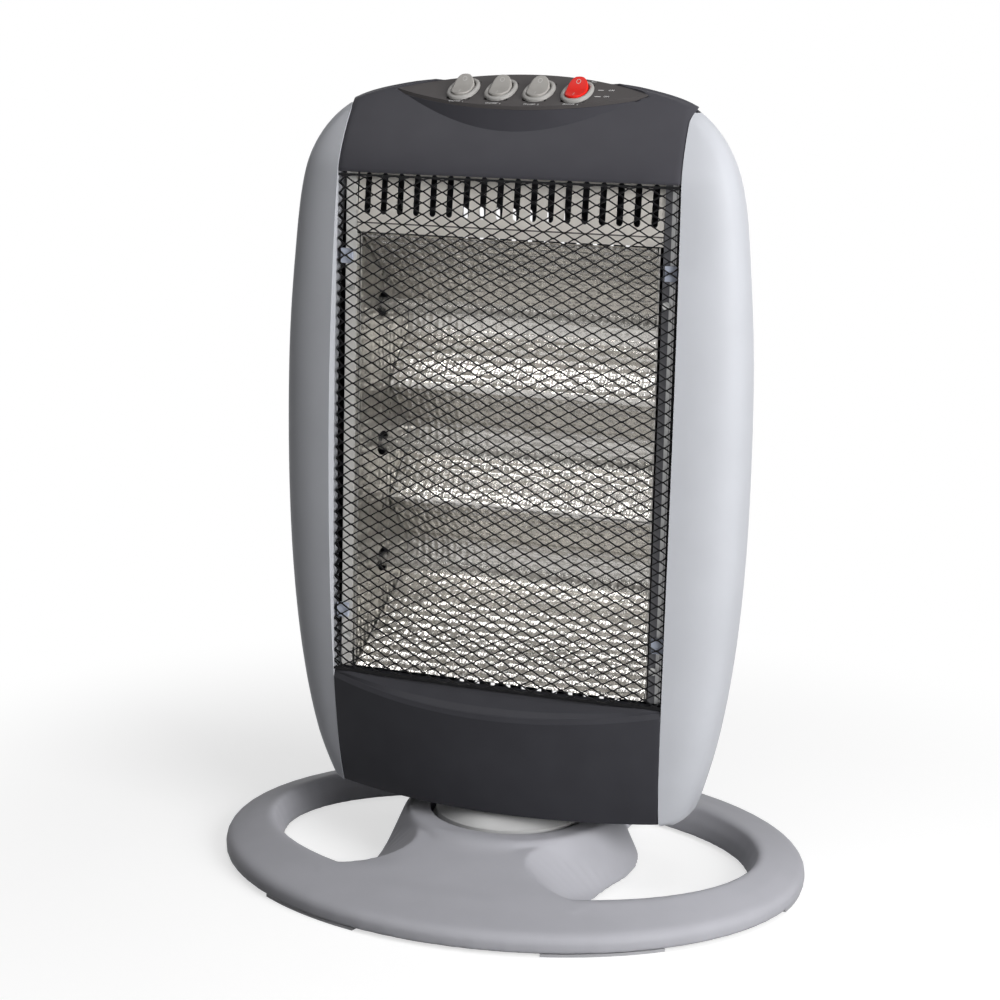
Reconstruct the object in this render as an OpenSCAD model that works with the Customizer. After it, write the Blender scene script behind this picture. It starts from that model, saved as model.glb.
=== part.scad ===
// Halogen heater: three quartz tubes in front of a reflector, in a body that swings on an oval base.
// Millimetres. Origin: on the floor, on the swivel axis. Front is -Y, +Z is up.

/* [Body shell] */
// Half width of the body at its widest height
body_hw = 164.2; // [150:0.1:180]
// Height of the widest section
z_wide = 330.7; // [300:0.1:360]
// Height of the top ridge of the body
z_top = 545; // [520:0.5:570]
// Height of the body's flat bottom edge
z_bot = 50; // [48:0.5:56]
// Depth of the body behind the swivel axis
rear_dep = 50; // [44:0.5:60]
// Depth in front of the swivel axis
front_dep = 42.5; // [38:0.5:48]
// Moulding wall of the panels
wall = 2.2; // [1.8:0.1:3]
// Gap between neighbouring mouldings
seam = 0.4; // [0.3:0.05:0.6]
// Half width of the dark front between the side panels
front_hw = 125.5; // [118:0.5:132]
// How far the rear cover's sides stand inside the side panels
rear_in = 4.5; // [0.5:0.1:6]

/* [Window and guard] */
// Lower edge of the window
win_z0 = 134.6; // [125:0.1:145]
// Upper edge of the window
win_z1 = 482; // [470:0.5:495]
// Lean of the guard, degrees
guard_tilt = 1.88; // [1:0.01:3]
// Half width of the guard
guard_hw = 121.2; // [115:0.1:124]
// Forward bow of the guard
guard_bow = 4; // [2:0.5:8]
// Width of one diamond
mesh_w = 34.6; // [14:0.1:40]
// Height of one diamond
mesh_h = 17.3; // [7:0.1:20]
// Wire width
wire = 1.8; // [1:0.1:3]
// Forward bulge of the lower panel
low_bulge = 23; // [15:0.5:30]
// Drop of the facet's arc below the window
facet_drop = 11; // [6:0.5:16]

/* [Control pod] */
// Half length of the pod
pod_hl = 89.5; // [80:0.5:100]
// Front sagitta of the pod's lens outline
pod_front = 18.5; // [14:0.5:24]
// Rear sagitta of the pod's lens outline
pod_rear = 21.5; // [16:0.5:26]
// Height of the pod's top plane over the swivel axis
pod_z = 537.7; // [525:0.1:550]
// Slope of the pod's top, degrees
pod_slope = 26; // [15:0.5:35]
// Spacing of the switches
sw_pitch = 26.9; // [25:0.1:30]
// Switch collar width
sw_w = 21; // [19:0.1:23]
// Switch collar length
sw_l = 27.5; // [25:0.1:30]
// Swing of a rocker between off and on, degrees
rock = 24; // [16:1:28]

/* [Reflector and tubes] */
// Quartz tube outside diameter
tube_d = 10; // [8:0.5:13]
// Half length of a tube
tube_hl = 118; // [112:0.5:122]
// Heights of the three tubes
tube_z = [207, 291, 389]; // tube heights, bottom to top
// Distance of the tubes behind the swivel axis
tube_y = 5; // [0:0.5:12]
// Sheet metal thickness
sheet = 1; // [0.6:0.1:1.5]

/* [Base] */
// Half length of the oval base
base_a = 209.5; // [190:0.5:230]
// Half depth of the oval base
base_b = 170; // [150:0.5:190]
// Width of the ring at its two ends, from the inner top edge outwards
rim_end = 30.2; // [26:0.1:45]
// Half depth of the ring's inner top edge
ring_b = 122.4; // [105:0.1:140]
// Height of the foot pads
foot_h = 2; // [1.5:0.1:4]
// Pedestal top radius
ped_r = 76; // [70:0.5:80]
// Recess radius
rec_r = 57; // [54:0.5:60]

/* [Swivel and drive] */
// Post diameter
post_d = 12; // [10:0.5:14]
// Radial running clearance of turning fits
run = 0.05; // [0.03:0.01:0.1]
// Distance of the crank shaft from the swivel axis
crank_x = 27; // [24:0.5:30]
// Crank throw
throw = 13; // [10:0.5:15]
// Crank pin diameter
pin_d = 5; // [4:0.5:6]
// Slot width in the yoke plate
slot_w = 8.4; // [8:0.1:9]

/* [Hidden] */
// half length of the ring's inner top edge
ring_a = base_a - rim_end;
lean = tan(pod_slope);
e = 0.02;

// ---------- body surface ----------
// half width, front depth, middle line and rear depth at height z
function bw(z) = body_hw*(z > z_wide
  ? pow(max(0, 1 - pow((z - z_wide)/(z_top - z_wide), 4.46)), 1/3.99)
  : pow(1 - pow((z_wide - z)/(z_wide + 16.2), 2.65), 1/3.35))
  + (z < z_wide ? 2*exp(-pow((z - 50)/75, 2)) : 0)
  - 3.6*exp(-pow((z - z_top + 105)/60, 2)) - 0.1*pow(max(0, z - z_top + 17), 2);
function bd(z) = front_dep - (z < 200 ? 2.98e-4 : 1.66e-4)*pow(z - 200, 2) - 0.0625*pow(max(0, z - 484), 1.5);
function bm(z) = 12*pow(max(0, z - 500)/45, 3) + 6*max(0, z_bot + 32 - z)/32;
function br(z) = rear_dep*(z > z_top - 105 ? sqrt(max(0, 1 - pow((z - z_top + 105)/105, 2))) : 1);
// parting line between side panels and the dark front
function ph(z) = front_hw - (z < 330 ? 7.2e-5 : 9.1e-5)*pow(z - 330, 2);
// inset and half width of the rear cover
function rim(z) = rear_in*min(1, max(0, z_top - 4 - z)/14);
function rw(z) = bw(z) - rim(z);
// front surface at x
function fy(x, z) = bm(z) - (bd(z) + bm(z))*pow(max(0, 1 - pow(abs(x)/bw(z), 4)), 0.25);

function unit(v) = v/max(1e-9, norm(v));
function nrm(O, i, j) = let (a = len(O) - 1, b = len(O[0]) - 1)
  unit(cross(O[min(i + 1, a)][j] - O[max(i - 1, 0)][j], O[i][min(j + 1, b)] - O[i][max(j - 1, 0)]));

// closed shell from an outer and an inner grid of points
module skin(O, I) {
  nr = len(O); nc = len(O[0]); n = nr*nc;
  pts = concat([for (r = O, p = r) p], [for (r = I, p = r) p]);
  tri = concat(
    [for (i = [0:nr - 2], j = [0:nc - 2]) each let (a = i*nc + j, b = a + 1, c = b + nc, d = a + nc)
      [[a, b, c], [a, c, d], [a + n, c + n, b + n], [a + n, d + n, c + n]]],
    [for (i = [0:nr - 2]) each let (a = i*nc, d = a + nc, b = a + nc - 1, c = b + nc)
      [[a, d, d + n], [a, d + n, a + n], [c, b, b + n], [c, b + n, c + n]]],
    [for (j = [0:nc - 2]) each let (a = j, b = j + 1, d = (nr - 1)*nc + j, c = d + 1)
      [[b, a, a + n], [b, a + n, b + n], [d, c, c + n], [d, c + n, d + n]]]);
  polyhedron(pts, tri, convexity = 8);
}

// ---------- side panels ----------
side_rows = [z_bot, 58, 70, 86, 106, 130, 160, 200, 245, 290, 335, 380, 420, 452, 476, 492, 503, 511,
  517, 521.5, 524.5];
function side_s(z) = pow(max(0, 1 - pow(ph(z)/bw(z), 4)), 0.25);
function side_row(z) = let (s = side_s(z), w = bw(z), d = bd(z) + bm(z), m = bm(z), n = 13,
    y1 = m - d*s, f = min(12, 0.5*(m - y1)))
  concat([[w - max(0.3, rim(z) - seam), m, z]],
    [for (k = [0:n]) let (q = s*k/n) [w*pow(1 - pow(q, 4), 0.25), m - d*q, z]],
    [for (k = [1:2]) [ph(z), y1 + f*k/2, z]]);
module side_panel() {
  O = [for (z = side_rows) side_row(z)];
  nc = len(O[0]);
  I = [for (i = [0:len(O) - 1]) let (z = side_rows[i], t = min(wall, 0.3*(bw(z) - ph(z))))
    [for (j = [0:nc - 1])
    let (v = nrm(O, i, j), u = j == 0 ? [0, 1, 0] : v, p = O[i][j] - t*u)
      [max(p.x, ph(z) + 0.02*(nc - j)), p.y, i == 0 ? z : p.z]]];
  skin(O, I);
}
module right_side_panel() color([0.66, 0.67, 0.69]) side_panel();
module left_side_panel() color([0.66, 0.67, 0.69]) mirror([1, 0, 0]) side_panel();

// ---------- upper front panel and control pod ----------
up_rows = [win_z1, 487, 492, 498, 504, 510, 516, 521, 525, 528.5, 532, 535.5, 538.5, 541, 542.8];
un = 13;
function up_x(z) = min(ph(z) - seam, bw(z));
module lens(g, z0, z1) {
  rf = (pow(pod_hl, 2) + pow(pod_front, 2))/(2*pod_front);
  rr = (pow(pod_hl, 2) + pow(pod_rear, 2))/(2*pod_rear);
  translate([0, -1, z0]) intersection() {
    translate([0, rf - pod_front, 0]) cylinder(h = z1 - z0, r = rf + g, $fn = 480);
    translate([0, pod_rear - rr, 0]) cylinder(h = z1 - z0, r = rr + g, $fn = 480);
  }
}
// everything above the pod's sloping plane, lifted by dz
module above(dz) translate([0, 0, pod_z + dz]) rotate([pod_slope, 0, 0]) translate([-150, -80, 0])
  cube([300, 160, 80]);
module upper_front_panel() color([0.29, 0.29, 0.32]) {
  O = [for (z = up_rows) [for (k = [-un:un]) let (x = -up_x(z)*sin(90*k/un)) [x, fy(x, z), z]]];
  I = [for (i = [0:len(O) - 1]) [for (j = [0:2*un]) let (v = nrm(O, i, j), z = up_rows[i],
      u = (j == 0 || j == 2*un) ? (bw(z) > ph(z) - seam ? unit([0, v.y, v.z]) : unit([v.x, 0, v.z])) : v,
      p = O[i][j] - wall*u) [p.x, p.y, i == 0 ? z : p.z]]];
  difference() {
    skin(O, I);
    lens(-1.5, 495, 560);
    intersection() {
      lens(0.1, 495, 560);
      above(-2.5);
    }
  }
  difference() {
    lens(0, 505, 560);
    lens(-2.5, 500, 561);
    above(-2.5);
    for (k = [1:4]) at_switch(k) translate([-8.5, -12.2, -22]) cube([17, 24.4, 26]);
  }
}
module at_switch(k) translate([(k - 2.5)*sw_pitch, -1.5, pod_z - 1.5*lean]) rotate([pod_slope, 0, 0])
  children();
// oval with straight sides: two round ends and a middle block
module oval(w, l, z0, z1) {
  for (s = [-1, 1]) translate([0, s*(l - w)/2, z0]) cylinder(h = z1 - z0, d = w, $fn = 48);
  translate([-w/2, -(l - w)/2, z0]) cube([w, l - w, z1 - z0]);
}
module control_panel() color([0.25, 0.235, 0.24]) difference() {
  lens(-0.3, 515, 560);
  above(0);
  translate([0, 0, pod_z - 2.4]) rotate([pod_slope, 0, 0]) translate([-150, -80, -80]) cube([300, 160, 80]);
  for (k = [1:4]) at_switch(k) translate([-8.4, -12.2, -20]) cube([16.8, 24.4, 40]);
}
module switch_housing() {
  difference() {
    union() {
      oval(sw_w, sw_l, 0.1, 2.5);
      translate([-8.2, -11.9, -1]) cube([16.4, 23.8, 2]);
      translate([-8.2, -11.9, -17]) cube([16.4, 23.8, 17]);
    }
    oval(14.2, 22.4, -13, 9);
    translate([-9, 0, -0.9]) rotate([0, 90, 0]) cylinder(h = 18, r = 1.5 + run, $fn = 24);
  }
  for (x = [-4, 4]) translate([x - 0.4, -2.4, -24]) cube([0.8, 4.8, 7.2]);
}
module rocker() translate([0, 0, -0.9]) rotate([rock/2, 0, 0]) {
  intersection() {
    rotate([90, 0, -90]) linear_extrude(height = 13.6, center = true)
      polygon([[-10.1, 6.8], [-10.1, 3.5], [-9.2, 0], [-6, -4.5], [6, -4.5], [9.2, 0], [10.1, 3.5],
        [10.1, 6.8],
        [9.4, 7.2], [5, 5.2], [0, 4.2], [-5, 5.2], [-9.4, 7.2]]);
    oval(13.6, 20.2, -6, 9);
  }
  rotate([0, 90, 0]) cylinder(h = 16, r = 1.5, center = true, $fn = 24);
}
module switch_housing_1() color([0.68, 0.67, 0.65]) at_switch(1) switch_housing();
module switch_housing_2() color([0.68, 0.67, 0.65]) at_switch(2) switch_housing();
module switch_housing_3() color([0.68, 0.67, 0.65]) at_switch(3) switch_housing();
module switch_housing_4() color([0.68, 0.67, 0.65]) at_switch(4) switch_housing();
module rocker_1() color([0.66, 0.64, 0.62]) at_switch(1) rocker();
module rocker_2() color([0.66, 0.64, 0.62]) at_switch(2) rocker();
module rocker_3() color([0.66, 0.64, 0.62]) at_switch(3) rocker();
module rocker_4() color([0.9, 0.12, 0.1]) at_switch(4) rocker();

// ---------- lower front panel ----------
ln = 11;
function lx(k, z) = -(ph(z) - seam)*sin(90*k/ln);
function ly(x, z) = fy(ph(z), z) - low_bulge*(1 - pow(x/ph(z), 2));
function arc_z(x) = win_z0 - 0.8 - facet_drop*(1 - pow(x/ph(win_z0), 2));
module lower_front_panel() color([0.23, 0.23, 0.26]) {
  rows = [0, 0.12, 0.3, 0.5, 0.7, 0.87, 1];
  low = [for (r = rows) [for (k = [-ln:ln]) let (x0 = lx(k, 100), b = z_bot + 1 + 1.2*pow(k/ln, 2),
      z = b + (arc_z(x0) - b)*r,
      x = lx(k, z)) [x, ly(x, z), z]]];
  face = [for (k = [-ln:ln]) let (z = win_z0 - 0.3, x = lx(k, z))
      [x, fy(ph(z), z) - guard_bow*(1 - pow(x/ph(z), 2)) + 0.5, z]];
  lip = [for (p = face) p + [0, 7, -0.1]];
  O = concat(low, [face, lip]);
  I = [for (i = [0:len(O) - 1]) [for (j = [0:2*ln]) let (v = nrm(O, i, j),
      u = (j == 0 || j == 2*ln) ? unit([0, v.y, v.z]) : v, p = O[i][j] - wall*u)
      [p.x, p.y, i == 0 ? O[0][j].z : p.z]]];
  skin(O, I);
}

// ---------- rear cover ----------
rear_rows = [z_bot, 56, 66, 80, 98, 125, 160, 205, 255, 305, 350, 390, 420, 445, 465, 480, 494, 505, 514,
  521, 527, 532, 536, 539, 541.2, 542.8];
rn = 22;
module rear_skin() {
  O = [for (z = rear_rows) [for (k = [0:rn]) let (a = 180 - 180*k/rn, s = pow(abs(sin(a)), 2/3),
      c = sign(cos(a))*pow(abs(cos(a)), 2/3)) [rw(z)*c, bm(z) + seam + br(z)*s, z]]];
  I = [for (i = [0:len(O) - 1]) [for (j = [0:rn]) let (v = nrm(O, i, j),
      u = (j == 0 || j == rn) ? unit([v.x, 0, v.z]) : v, p = O[i][j] - wall*u)
      [p.x, p.y, i == 0 ? rear_rows[0] : p.z]]];
  skin(O, I);
}
module slots(n, pitch, w, l, z) for (k = [0:n - 1]) translate([(k - (n - 1)/2)*pitch, 0, z]) {
  translate([-w/2, 25, -l/2]) cube([w, 40, l]);
}
rear_screw_xz = [[-107, 90], [107, 90], [-107, 300], [107, 300], [-107, 455], [107, 455]];
function rear_y(x, z) = bm(z) + seam + br(z)*pow(1 - pow(abs(x)/rw(z), 3), 1/3);
module rear_cover() color([0.3, 0.3, 0.33]) difference() {
  rear_skin();
  lens(seam, 495, 560);
  slots(11, 12, 4, 34, 438);
  slots(11, 12, 4, 34, 392);
  slots(11, 12, 4, 28, 100);
  translate([-52, 30, 470]) cube([104, 40, 26]);
  translate([-90, 60, 78]) rotate([90, 0, 0]) cylinder(h = 40, r = 8.1, $fn = 40);
  for (p = rear_screw_xz) translate([p.x, 60, p.y]) rotate([90, 0, 0]) {
    cylinder(h = 40, r = 2.1, $fn = 24);
    cylinder(h = 60.9 - rear_y(p.x, p.y), r = 4, $fn = 32);
  }
}
module rear_cover_screws() color([0.75, 0.75, 0.76]) for (p = rear_screw_xz) let (y = rear_y(p.x, p.y))
  translate([p.x, y + 1.4, p.y]) rotate([90, 0, 0])
    { cylinder(h = 2, r = 3.6, $fn = 32); cylinder(h = y - 27, r = 1.7, $fn = 24); }
module carry_grip_pocket() color([0.3, 0.3, 0.33]) difference() {
  translate([-54, 16, 468]) cube([108, 20, 30]);
  translate([-51.6, 18.4, 470.4]) cube([103.2, 30, 25.2]);
}
module cord_bushing() color([0.12, 0.12, 0.12]) translate([-90, 0, 78]) rotate([-90, 0, 0]) difference() {
  union() {
    translate([0, 0, 48.2]) cylinder(h = 3, r = 10.5, $fn = 40);
    translate([0, 0, 40]) cylinder(h = 10, r = 7.8, $fn = 40);
  }
  translate([0, 0, 30]) cylinder(h = 30, r = 3.6, $fn = 32);
}

// ---------- bottom cover ----------
function inner_pt(a) = let (z = z_bot + 1.5, s = pow(abs(sin(a)), 2/3),
  c = sign(cos(a))*pow(abs(cos(a)), 2/3))
  [(rw(z) - 3.2)*c, (br(z) + bm(z) - 3)*s];
module bottom_cover() color([0.22, 0.22, 0.24]) difference() {
  translate([0, 0, z_bot + 0.6]) linear_extrude(height = 3) polygon(concat(
    [for (k = [0:20]) inner_pt(180*k/20)], [[-116.5, -9]],
    [for (k = [-8:8]) let (x = 112*k/8) [x, ly(x, 54) + 3.4]], [[116.5, -9]]));
  translate([0, 0, 40]) cylinder(h = 20, r = post_d/2 + 0.8, $fn = 40);
  translate([crank_x, 0, 40]) cylinder(h = 20, r = 5, $fn = 32);
  for (a = [90, 180, 270]) rotate(a) translate([33, 0, 40]) cylinder(h = 20, r = 2.1, $fn = 24);
  for (s = [-1, 1]) translate([crank_x + 14, s*30, 40]) cylinder(h = 20, r = 1.6, $fn = 24);
}
bc_top = z_bot + 3.6;

// ---------- swivel ----------
module swivel_disc() color([0.86, 0.86, 0.86]) difference() {
  rotate_extrude($fn = 96) polygon([[post_d/2 + run, 27], [11, 27], [11, 43.5], [36, 43.5], [46, 36.5],
    [49.5, 36.5],
    [49.5, 33.4], [53.5, 33.4], [53.5, 39.4], [52.4, 40.2], [41.5, z_bot + 0.4],
      [post_d/2 + run, z_bot + 0.4]]);
  translate([crank_x, 0, 20]) cylinder(h = 40, r = 5, $fn = 32);
  for (a = [90, 180, 270]) rotate(a) translate([33, 0, 20]) cylinder(h = 40, r = 1.8, $fn = 24);
}
module disc_screws() color([0.7, 0.7, 0.7]) for (a = [90, 180, 270]) rotate(a) translate([33, 0, 0]) {
  translate([0, 0, 41]) cylinder(h = bc_top - 41, r = 1.7, $fn = 24);
  translate([0, 0, bc_top]) cylinder(h = 2.2, r = 3.4, $fn = 32);
}
module swivel_post() color([0.72, 0.72, 0.74]) {
  translate([0, 0, 22]) cylinder(h = 3, r = 10.5, $fn = 48);
  translate([0, 0, 22]) cylinder(h = 46, r = post_d/2, $fn = 48);
}
module post_washer() color([0.75, 0.75, 0.75]) translate([0, 0, bc_top + 0.3]) difference() {
  cylinder(h = 1.5, r = 11, $fn = 48);
  translate([0, 0, -1]) cylinder(h = 4, r = post_d/2 + 0.2, $fn = 48);
}
module post_nut() color([0.7, 0.7, 0.7]) translate([0, 0, bc_top + 1.8]) difference() {
  cylinder(h = 8, r = 10.4, $fn = 6);
  translate([0, 0, -1]) cylinder(h = 10, r = post_d/2 + 0.1, $fn = 48);
}
module glide_ring() color([0.9, 0.9, 0.86]) translate([0, 0, 31]) difference() {
  cylinder(h = 2.2, r = 55.5, $fn = 96);
  translate([0, 0, -1]) cylinder(h = 4, r = 48, $fn = 96);
}
module yoke_plate() color([0.7, 0.7, 0.7]) translate([0, 0, 22]) difference() {
  cylinder(h = 2, r = 45, $fn = 96);
  translate([0, 0, -1]) cylinder(h = 4, r = 12.5, $fn = 48);
  translate([5, -slot_w/2, -1]) cube([crank_x + throw - 5, slot_w, 4]);
  translate([crank_x + throw, 0, -1]) cylinder(h = 4, r = slot_w/2, $fn = 32);
  for (a = [110, 180, 250]) rotate(a) translate([34, 0, -1]) cylinder(h = 4, r = 1.9, $fn = 24);
}
module yoke_screws() color([0.65, 0.65, 0.65]) for (a = [110, 180, 250]) rotate(a) translate([34, 0, 0]) {
  translate([0, 0, 24]) cylinder(h = 1.6, r = 3.4, $fn = 32);
  translate([0, 0, 19.4]) cylinder(h = 5, r = 1.7, $fn = 24);
}
module crank_arm() color([0.75, 0.7, 0.5]) {
  translate([crank_x, 0, 26.6]) cylinder(h = 34, r = 3, $fn = 32);
  translate([crank_x, 0, 26.6]) cylinder(h = 3.4, r = 5.5, $fn = 32);
  translate([crank_x, -4, 26.6]) cube([throw, 8, 3.4]);
  translate([crank_x + throw, 0, 26.6]) cylinder(h = 3.4, r = 4, $fn = 32);
  translate([crank_x + throw, 0, 22.6]) cylinder(h = 5, r = pin_d/2, $fn = 32);
}
module oscillation_motor() color([0.78, 0.78, 0.76]) difference() {
  union() {
    translate([crank_x + 14, 0, bc_top]) cylinder(h = 22, r = 25, $fn = 64);
    translate([crank_x + 14 - 5, -35, bc_top]) cube([10, 70, 1.5]);
    translate([crank_x + 30, -7, bc_top + 4]) cube([14, 14, 12]);
  }
  translate([crank_x, 0, bc_top - 1]) cylinder(h = 9, r = 3 + run, $fn = 32);
  for (s = [-1, 1]) translate([crank_x + 14, s*30, bc_top - 1]) cylinder(h = 4, r = 1.6, $fn = 24);
}
module motor_screws() color([0.7, 0.7, 0.7]) for (s = [-1, 1]) translate([crank_x + 14, s*30, 0]) {
  translate([0, 0, bc_top - 3.4]) cylinder(h = 6, r = 1.4, $fn = 24);
  translate([0, 0, bc_top + 1.5]) cylinder(h = 2, r = 2.9, $fn = 32);
}

// ---------- base ----------
rq = 64;
// ring profile: [outward share, height]; share 0 is the inner bottom edge, 1 the outer bottom edge
module ring(P) {
  m = len(P);
  pts = [for (i = [0:rq - 1], p = P) [(p[0])*cos(360*i/rq), (p[1])*sin(360*i/rq), p[2]]];
  tri = [for (i = [0:rq - 1], j = [0:m - 1]) each let
    (i2 = (i + 1)%rq, j2 = (j + 1)%m, a = i*m + j, b = i2*m + j,
    c = i2*m + j2, d = i*m + j2) [[a, b, c], [a, c, d]]];
  polyhedron(pts, tri, convexity = 8);
}
ft = foot_h;
module pedestal(g) rotate_extrude($fn = 96) polygon(g == 0
  ? [[0, ft], [ped_r + 15, ft], [ped_r, 36.4], [ped_r - 1.4, 38.4], [ped_r - 4, 39.6],
    [rec_r + 1.6, 39.6], [rec_r, 39], [0, 39]]
  : [[0, ft - 1], [ped_r + 11.8, ft - 1], [ped_r - 2.8, 34.6], [ped_r - 4.6, 36.4], [60.5, 36.4],
    [60.5, 28], [49, 28],
     [49, 19], [0, 19]]);
// front and rear ramps: [distance, half width at the floor, half width at the top, top height, fall to
// the edge]
ramp_st = [[24, 87.6, 71.4, 36.2, 0], [32, 86.2, 67.5, 36.2, 0], [40, 85, 62, 36.2, 0],
  [48, 84.2, 56, 36.2, 0],
  [56, 83.4, 50, 36.2, 0], [62, 82.8, 46, 36.1, 0], [68, 82.4, 43, 35.8, 0], [74, 82.2, 41.5, 35, 0.3],
  [80, 82.4, 42.2, 33.6, 0.5], [86, 83.2, 45, 32, 0.8], [92, 85, 50, 30.3, 1.2], [98, 88.4, 58, 28.6, 1.8],
  [103, 93.6, 68, 27.2, 2.6], [107, 100.5, 80, 26.1, 3.2], [110, 106.5, 91, 25.3, 3.4],
    [114, 110, 97, 24.2, 3.2],
  [122, 108, 92, 21.9, 2]];
// the rear ramp is narrower at the floor
rear_w = [86.4, 83, 79, 75, 71, 68, 65.5, 63, 61.5, 61, 62, 66, 74, 86, 98, 108, 106];
function stations(s) = [for (i = [0:len(ramp_st) - 1]) let (r = ramp_st[i])
  [r[0], s == 0 ? r[1] : rear_w[i], r[2], r[3], r[4]]];
module ramp(g) for (s = [0, 1]) mirror([0, s, 0]) {
  n = len(ramp_st); c = g*3.2;
  pts = [for (r = stations(s)) each let (y = -r[0], z = r[3] - c) [[-r[1] + c, y, ft - g], [r[1] - c, y, ft - g],
    [r[2] - c, y, z - r[4]], [0.6*r[2], y, z], [-0.6*r[2], y, z], [c - r[2], y, z - r[4]]]];
  tri = concat([for (k = [1:4]) [k, k + 1, 0]], [for (k = [1:4]) [6*n - 6 + k + 1, 6*n - 6 + k, 6*n - 6]],
    [for (i = [0:n - 2], j = [0:5]) each let (a = 6*i + j, b = 6*i + (j + 1)%6)
      [[b + 6, b, a], [a + 6, b + 6, a]]]);
  polyhedron(pts, tri, convexity = 6);
}
module base_shell() color([0.6, 0.6, 0.61]) difference() {
  union() {
    ring([[ring_a - 8, ring_b - 11.7, ft], [ring_a - 6, ring_b - 8.6, 12],
      [ring_a - 1.6, ring_b - 2.4, 21], [ring_a, ring_b, 22],
      [ring_a + 3, ring_b + 6, 22], [ring_a + 15.7, ring_b + 19.6, 18.6], [base_a - 5, base_b - 6, 14.6],
        [base_a - 2, base_b - 2.4, 12.8],
      [base_a, base_b, 9.5], [base_a, base_b, ft]]);
    pedestal(0);
    ramp(0);
  }
  difference() {
    union() {
      ring([[ring_a - 4.8, ring_b - 8.4, ft - 1], [ring_a - 3, ring_b - 5.6, 11.4],
        [ring_a + 1.2, ring_b + 0.6, 18.6],
        [ring_a + 4, ring_b + 6, 19], [ring_a + 15.7, ring_b + 19.6, 15.6], [base_a - 6.5, base_b - 7.5, 11.6],
        [base_a - 3, base_b - 3, 8.6], [base_a - 3, base_b - 3, ft - 1]]);
      pedestal(1);
      ramp(1);
    }
    difference() {
      translate([0, 0, 18]) cylinder(h = 30, r = 60.5, $fn = 96);
      translate([0, 0, 17]) cylinder(h = 11, r = 60.4, $fn = 96);
    }
    translate([0, 0, 19]) cylinder(h = 20, r = 49, $fn = 96);
  }
  translate([0, 0, 31]) cylinder(h = 10, r = rec_r, $fn = 96);
  translate([0, 0, 22]) cylinder(h = 20, r = 46, $fn = 96);
  for (a = [110, 180, 250]) rotate(a) translate([34, 0, 18]) cylinder(h = 8, r = 1.8, $fn = 24);
}
module ell(a, b) polygon([for (i = [0:71]) [a*cos(5*i), b*sin(5*i)]]);
// screws of the cover, on the ring's middle line
bsx = base_a - 17.5; bsy = base_b - 18;
base_screw = concat([for (t = [-1, 1]) each [[0, t*(base_b - 38)], [t*bsx, 0]]],
  [for (a = [-1, 1], b = [-1, 1]) [a*bsx*cos(43.2), b*bsy*sin(43.2)]]);
module base_cover() color([0.2, 0.2, 0.21]) difference() {
  translate([0, 0, ft]) linear_extrude(height = 2) {
    difference() {
      ell(base_a - 3.6, base_b - 3.6);
      ell(ring_a - 3.4, ring_b - 6.8);
    }
    intersection() {
      ell(ring_a, ring_b);
      union() {
        circle(r = ped_r + 9.4, $fn = 96);
        for (s = [0, 1]) mirror([0, s]) polygon(concat([for (r = stations(s)) [r[1] - 7.2, -r[0]]],
          [for (k = [len(ramp_st) - 1:-1:0]) [7.2 - stations(s)[k][1], -ramp_st[k][0]]]));
      }
    }
  }
  for (p = base_screw) translate([p.x, p.y, 0]) cylinder(h = 8, r = 1.9, $fn = 24);
}
module base_cover_screws() color([0.6, 0.6, 0.6]) for (p = base_screw) translate([p.x, p.y, 0]) {
  translate([0, 0, 0.6]) cylinder(h = ft - 0.6, r = 3.4, $fn = 32);
  translate([0, 0, ft - 0.2]) cylinder(h = 6, r = 1.6, $fn = 24);
}
module foot_pads() color([0.5, 0.5, 0.51]) for (a = [-115, -55, 5, 65, 125, 185]) linear_extrude(height = ft)
  polygon(concat([for (k = [-6:6]) [(base_a - 1.5)*cos(a + 2*k), (base_b - 1.5)*sin(a + 2*k)]],
    [for (k = [-6:6]) [(base_a - 11)*cos(a - 2*k), (base_b - 12)*sin(a - 2*k)]]));

// ---------- guard ----------
module tilted(z) translate([0, 0, z]) rotate([-guard_tilt, 0, 0]) translate([0, 0, -z]) children();
gr = pow(guard_hw, 2)/(2*guard_bow);
gz0 = win_z0 + 1.2; gz1 = win_z1 - 1.4;
module front_guard() color([0.06, 0.06, 0.06]) translate([0, -37.6, win_z0]) rotate([-guard_tilt, 0, 0]) {
  hh = (gz1 - gz0);
  difference() {
    intersection() {
      translate([-guard_hw, -30, 1.2]) cube([2*guard_hw, 60, hh]);
      translate([0, gr - guard_bow, 0]) difference() {
        cylinder(h = hh + 10, r = gr, $fn = 720);
        translate([0, 0, -1]) cylinder(h = hh + 12, r = gr - 1.2, $fn = 720);
      }
    }
    translate([0, 40, 1.2 + hh/2]) rotate([90, 0, 0]) linear_extrude(height = 80) intersection() {
      square([2*guard_hw - 4, hh - 4], center = true);
      union() for (i = [-4:4], j = [-10:10], q = [0, 1])
        translate([(i + q/2)*mesh_w, (j + q/2)*mesh_h])
          polygon([[-mesh_w/2 + wire, 0], [0, -mesh_h/2 + wire*0.56],
          [mesh_w/2 - wire, 0], [0, mesh_h/2 - wire*0.56]]);
    }
  }
  for (s = [-1, 1]) translate([s*(guard_hw - 0.6) - 0.6, -0.2, 1.2]) cube([1.2, 9, hh]);
}
// front plane of the inner frame at height z
function ky(z) = -33.2 + (z - win_z0)*tan(guard_tilt);
module guard_clips() color([0.35, 0.4, 0.5]) for (s = [-1, 1], z = [178, 425])
  translate([s*115.6 - 4.1, ky(z) - 3, z - 5]) cube([8.2, 2.7, 10]);

// ---------- inner frame, reflector, tubes ----------
module profile_x(P, hw) rotate([90, 0, 90]) linear_extrude(height = 2*hw, center = true) polygon(P);
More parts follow.
